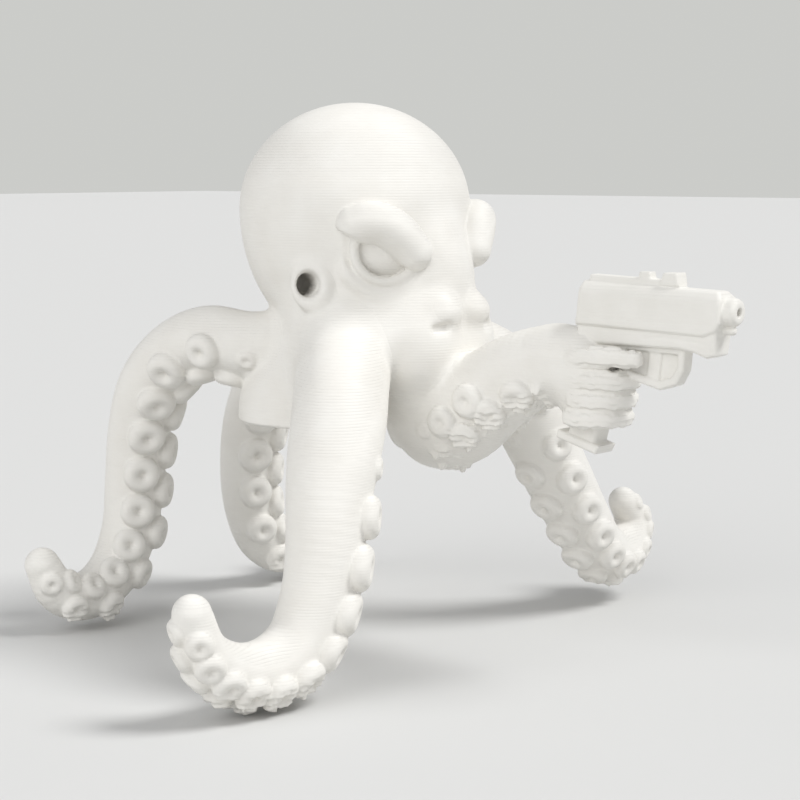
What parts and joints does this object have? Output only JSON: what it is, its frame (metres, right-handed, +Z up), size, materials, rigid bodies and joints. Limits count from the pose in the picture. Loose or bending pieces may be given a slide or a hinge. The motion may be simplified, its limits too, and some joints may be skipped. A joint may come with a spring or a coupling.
{
  "type": "octopus figurine",
  "caption": "Octopus figurine that perches on the top edge of a panel, with hooked sucker arms hanging down both sides and a hand that points a toy pistol.",
  "frame": {"origin": "on the flat seat under the mantle, at the middle of the edge that the figure perches on", "axes": "+Z up, the figure faces -Y, its left side is +X"},
  "size_m": [0.0788, 0.0743, 0.0569],
  "materials": {
    "body_plastic": "matte, printed in thin level layers",
    "pistol_plastic": "matte, printed in thin level layers, flat sides"
  },
  "bodies": {
    "root": {"gun_arm": "body_plastic", "gun_suckers": "body_plastic", "index_finger": "body_plastic", "left_brow": "body_plastic", "left_eyeball": "body_plastic", "left_eyelid": "body_plastic", "left_front_arm": "body_plastic", "left_front_suckers": "body_plastic", "left_rear_arm": "body_plastic", "left_rear_suckers": "body_plastic", "left_siphon_rim": "body_plastic", "little_finger": "body_plastic", "mantle": "body_plastic", "middle_finger": "body_plastic", "nose": "body_plastic", "palm": "body_plastic", "pistol_barrel": "pistol_plastic", "pistol_frame": "pistol_plastic", "pistol_grip": "pistol_plastic", "pistol_guide_rod": "pistol_plastic", "pistol_magazine_base": "pistol_plastic", "pistol_sights": "pistol_plastic", "pistol_slide": "pistol_plastic", "pistol_top_rib": "pistol_plastic", "pistol_trigger": "pistol_plastic", "pistol_trigger_guard": "pistol_plastic", "right_brow": "body_plastic", "right_eyeball": "body_plastic", "right_eyelid": "body_plastic", "right_front_arm": "body_plastic", "right_front_suckers": "body_plastic", "right_rear_arm": "body_plastic", "right_rear_suckers": "body_plastic", "right_siphon_rim": "body_plastic", "ring_finger": "body_plastic", "thumb": "body_plastic"}
  },
  "joints": []
}
